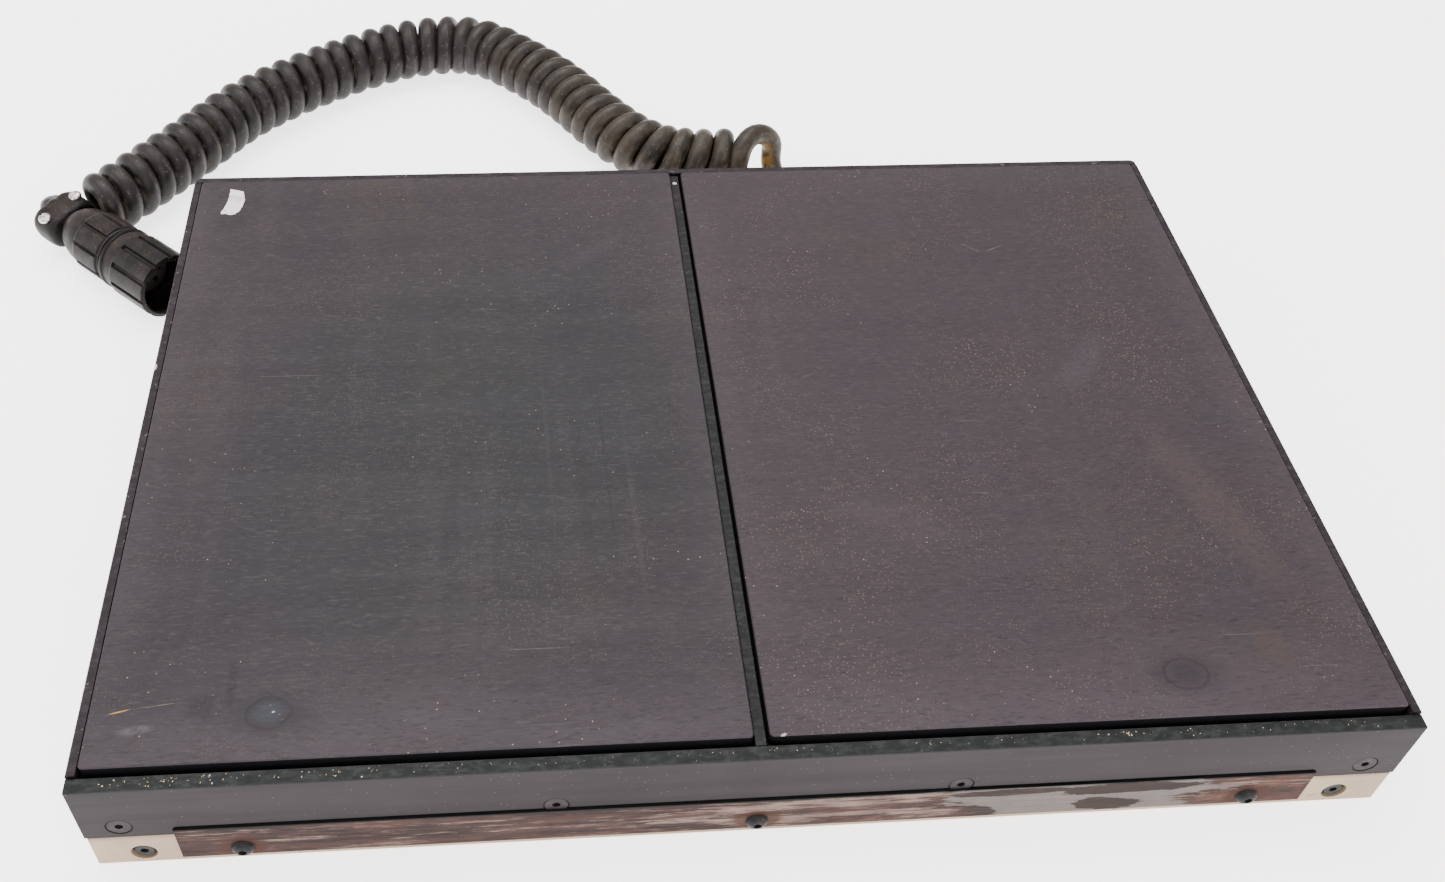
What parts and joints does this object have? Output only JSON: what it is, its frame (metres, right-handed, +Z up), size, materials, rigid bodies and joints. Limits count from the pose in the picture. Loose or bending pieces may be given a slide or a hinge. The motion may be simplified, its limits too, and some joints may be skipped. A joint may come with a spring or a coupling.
{
  "type": "twin-plate press controller",
  "caption": "Low black metal controller with two large hinged press plates side by side, a pale base with a worn front strip, and a curly cord to a round locking plug.",
  "frame": {"origin": "on the table under the middle of the housing", "axes": "+X to the right along the housing's long side, +Y to the back where the cord leaves, +Z up"},
  "size_m": [0.5115, 0.4818, 0.0474],
  "materials": {
    "black_anodised": "satin",
    "plate_black": "matte",
    "nickel_bar": "satin",
    "worn_strip": "matte",
    "black_screws": "satin",
    "bright_steel": "satin",
    "spring_steel": "satin",
    "inner_aluminium": "satin",
    "cord_jacket": "matte",
    "plug_plastic": "matte",
    "switch_plastic": "matte",
    "nylon": "matte"
  },
  "bodies": {
    "housing": {"base_front_bar": "nickel_bar", "base_rear_bar": "nickel_bar", "base_left_bar": "nickel_bar", "base_right_bar": "nickel_bar", "bottom_plate": "inner_aluminium", "front_plate": "black_anodised", "back_plate": "black_anodised", "left_rail": "black_anodised", "right_rail": "black_anodised", "centre_rib": "black_anodised", "left_spring_block": "inner_aluminium", "right_spring_block": "inner_aluminium", "left_hinge_rod": "bright_steel", "right_hinge_rod": "bright_steel", "left_return_spring_1": "spring_steel", "left_return_spring_2": "spring_steel", "right_return_spring_1": "spring_steel", "right_return_spring_2": "spring_steel", "left_switch": "switch_plastic", "right_switch": "switch_plastic", "terminal_strip": "switch_plastic", "front_strip": "worn_strip", "strip_screw_1": "black_screws", "strip_screw_2": "black_screws", "strip_screw_3": "black_screws", "front_screw_1": "black_screws", "front_screw_2": "black_screws", "front_screw_3": "black_screws", "front_screw_4": "black_screws", "back_screw_1": "black_screws", "back_screw_2": "black_screws", "back_screw_3": "black_screws", "base_screw_1": "black_screws", "base_screw_2": "black_screws", "rib_screw": "bright_steel", "gland_nut": "bright_steel", "clamp_screw_1": "bright_steel", "clamp_screw_2": "bright_steel", "cord_gland": "plug_plastic", "plug_body": "plug_plastic", "backshell": "plug_plastic", "clamp_strap": "plug_plastic", "cable_cores": "cord_jacket", "cord_tail_body": "cord_jacket", "cord_coil": "cord_jacket", "cord_tail_plug": "cord_jacket"},
    "left_plate": {"left_press_plate": "plate_black", "left_outer_hinge_lug": "inner_aluminium", "left_inner_hinge_lug": "inner_aluminium", "left_stop_bolt_1": "bright_steel", "left_stop_bolt_2": "bright_steel"},
    "right_plate": {"right_press_plate": "plate_black", "right_outer_hinge_lug": "inner_aluminium", "right_inner_hinge_lug": "inner_aluminium", "right_stop_bolt_1": "bright_steel", "right_stop_bolt_2": "bright_steel"},
    "left_plunger": {"left_switch_plunger": "nylon"},
    "right_plunger": {"right_switch_plunger": "nylon"},
    "ring": {"coupling_ring": "plug_plastic"}
  },
  "joints": [
    {"name": "left_plate_press", "type": "hinge", "parent": "housing", "child": "left_plate", "pos_m": [-0.1, 0.13, 0.03], "axis": [1, 0, 0], "range_deg": [0, 0.7], "stiffness_Nm_per_rad": 120, "springref_deg": -1.2, "deforming": ["left_return_spring_1", "left_return_spring_2"]},
    {"name": "right_plate_press", "type": "hinge", "parent": "housing", "child": "right_plate", "pos_m": [0.1, 0.13, 0.03], "axis": [1, 0, 0], "range_deg": [0, 0.7], "stiffness_Nm_per_rad": 120, "springref_deg": -1.2, "deforming": ["right_return_spring_1", "right_return_spring_2"]},
    {"name": "left_switch_press", "type": "slide", "parent": "housing", "child": "left_plunger", "axis": [0, 0, -1], "range_m": [0, 0.0024]},
    {"name": "right_switch_press", "type": "slide", "parent": "housing", "child": "right_plunger", "axis": [0, 0, -1], "range_m": [0, 0.0024]},
    {"name": "coupling_ring_turn", "type": "hinge", "parent": "housing", "child": "ring", "pos_m": [-0.22746, 0.11627, 0.0152], "axis": [-0.7349, 0.6782, 0], "continuous": true}
  ],
  "couplings": [
    {"joint": "left_switch_press", "follows": "left_plate_press", "m_per_rad": 0.1708},
    {"joint": "right_switch_press", "follows": "right_plate_press", "m_per_rad": 0.1708}
  ]
}
